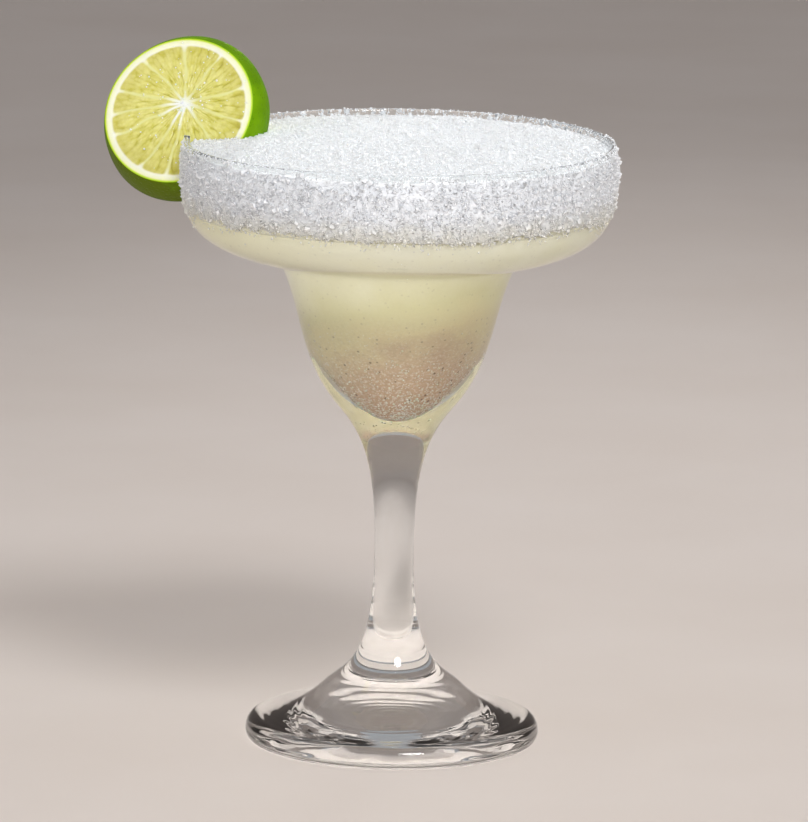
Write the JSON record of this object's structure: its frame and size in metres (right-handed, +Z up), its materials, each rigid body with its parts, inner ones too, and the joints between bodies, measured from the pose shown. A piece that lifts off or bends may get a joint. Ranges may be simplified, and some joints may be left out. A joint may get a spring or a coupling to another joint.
{
  "type": "margarita cocktail",
  "caption": "Margarita in a stepped stemmed glass, filled with cloudy lime drink under a heap of crushed ice, with a salted rim and a lime wheel slotted onto the rim.",
  "frame": {"origin": "centre of the glass foot's flat underside", "axes": "+Z up along the glass's axis; the lime wheel is on the rim at -X, its cut face turned towards -Y"},
  "size_m": [0.1449, 0.1239, 0.1954],
  "materials": {
    "clear_glass": "clear polished glass",
    "cloudy_lime_drink": "cloudy pale yellow-green liquid",
    "crushed_ice": "fine wet crushed ice, white and grainy",
    "coarse_salt": "coarse white salt crystals",
    "lime": "cut lime, juicy pulp with white pith and green rind"
  },
  "bodies": {
    "root": {"glass": "clear_glass", "drink": "cloudy_lime_drink", "crushed_ice": "crushed_ice", "salt_rim": "coarse_salt", "lime_wheel": "lime"}
  },
  "joints": []
}
